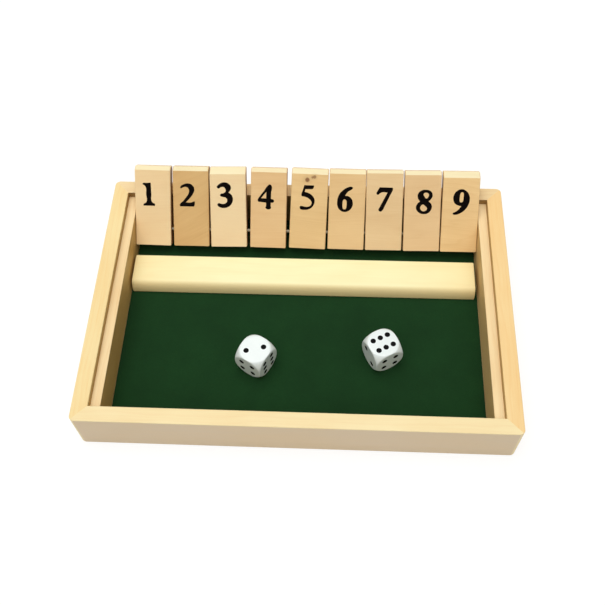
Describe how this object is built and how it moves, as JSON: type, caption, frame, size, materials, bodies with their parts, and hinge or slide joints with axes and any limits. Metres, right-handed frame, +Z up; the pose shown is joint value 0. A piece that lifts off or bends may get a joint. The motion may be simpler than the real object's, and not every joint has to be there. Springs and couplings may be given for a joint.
{
  "type": "shut the box game",
  "caption": "Shallow wooden tray with a felt floor, a row of numbered tiles that flip on a rod, a rail they close onto, and loose dice in the well.",
  "frame": {"origin": "centre of the tray's underside, on the table", "axes": "+X to the right along the long side, +Y from the player to the rear rail and the tile row, +Z up"},
  "size_m": [0.22, 0.1522, 0.0417],
  "materials": {
    "rail_wood": "light softwood under thin satin lacquer",
    "strip_wood": "light softwood, thin lacquer",
    "panel_wood": "thin plywood, plain",
    "bar_wood": "light softwood, rounded front edge, thin lacquer",
    "tile_wood": "light wood with a thin satin lacquer and a sanded top bevel",
    "felt": "dark green short-pile felt, glued down",
    "rod_steel": "plain drawn wire",
    "die_plastic": "white gloss plastic with drilled pips painted black"
  },
  "bodies": {
    "tray": {"front_rail": "rail_wood", "rear_rail": "rail_wood", "left_rail": "rail_wood", "right_rail": "rail_wood", "base_panel": "panel_wood", "felt_sheet": "felt", "left_strip": "strip_wood", "right_strip": "strip_wood", "divider_bar": "bar_wood", "pivot_rod": "rod_steel"},
    "tile_1": {"tile_1": "tile_wood"},
    "tile_2": {"tile_2": "tile_wood"},
    "tile_3": {"tile_3": "tile_wood"},
    "tile_4": {"tile_4": "tile_wood"},
    "tile_5": {"tile_5": "tile_wood"},
    "tile_6": {"tile_6": "tile_wood"},
    "tile_7": {"tile_7": "tile_wood"},
    "tile_8": {"tile_8": "tile_wood"},
    "tile_9": {"tile_9": "tile_wood"},
    "left_die": {"left_die": "die_plastic"},
    "right_die": {"right_die": "die_plastic"}
  },
  "joints": [
    {"name": "tile_1_flip", "type": "hinge", "parent": "tray", "child": "tile_1", "pos_m": [0, 0.0503, 0.01495], "axis": [1, 0, 0], "range_deg": [0, 134]},
    {"name": "tile_2_flip", "type": "hinge", "parent": "tray", "child": "tile_2", "pos_m": [0, 0.0503, 0.01495], "axis": [1, 0, 0], "range_deg": [0, 134]},
    {"name": "tile_3_flip", "type": "hinge", "parent": "tray", "child": "tile_3", "pos_m": [0, 0.0503, 0.01495], "axis": [1, 0, 0], "range_deg": [0, 134]},
    {"name": "tile_4_flip", "type": "hinge", "parent": "tray", "child": "tile_4", "pos_m": [0, 0.0503, 0.01495], "axis": [1, 0, 0], "range_deg": [0, 134]},
    {"name": "tile_5_flip", "type": "hinge", "parent": "tray", "child": "tile_5", "pos_m": [0, 0.0503, 0.01495], "axis": [1, 0, 0], "range_deg": [0, 134]},
    {"name": "tile_6_flip", "type": "hinge", "parent": "tray", "child": "tile_6", "pos_m": [0, 0.0503, 0.01495], "axis": [1, 0, 0], "range_deg": [0, 134]},
    {"name": "tile_7_flip", "type": "hinge", "parent": "tray", "child": "tile_7", "pos_m": [0, 0.0503, 0.01495], "axis": [1, 0, 0], "range_deg": [0, 134]},
    {"name": "tile_8_flip", "type": "hinge", "parent": "tray", "child": "tile_8", "pos_m": [0, 0.0503, 0.01495], "axis": [1, 0, 0], "range_deg": [0, 134]},
    {"name": "tile_9_flip", "type": "hinge", "parent": "tray", "child": "tile_9", "pos_m": [0, 0.0503, 0.01495], "axis": [1, 0, 0], "range_deg": [0, 134]},
    {"name": "left_die_lift", "type": "slide", "parent": "tray", "child": "left_die", "axis": [0, 0, 1], "range_m": [0, 0.045]},
    {"name": "right_die_lift", "type": "slide", "parent": "tray", "child": "right_die", "axis": [0, 0, 1], "range_m": [0, 0.045]}
  ]
}
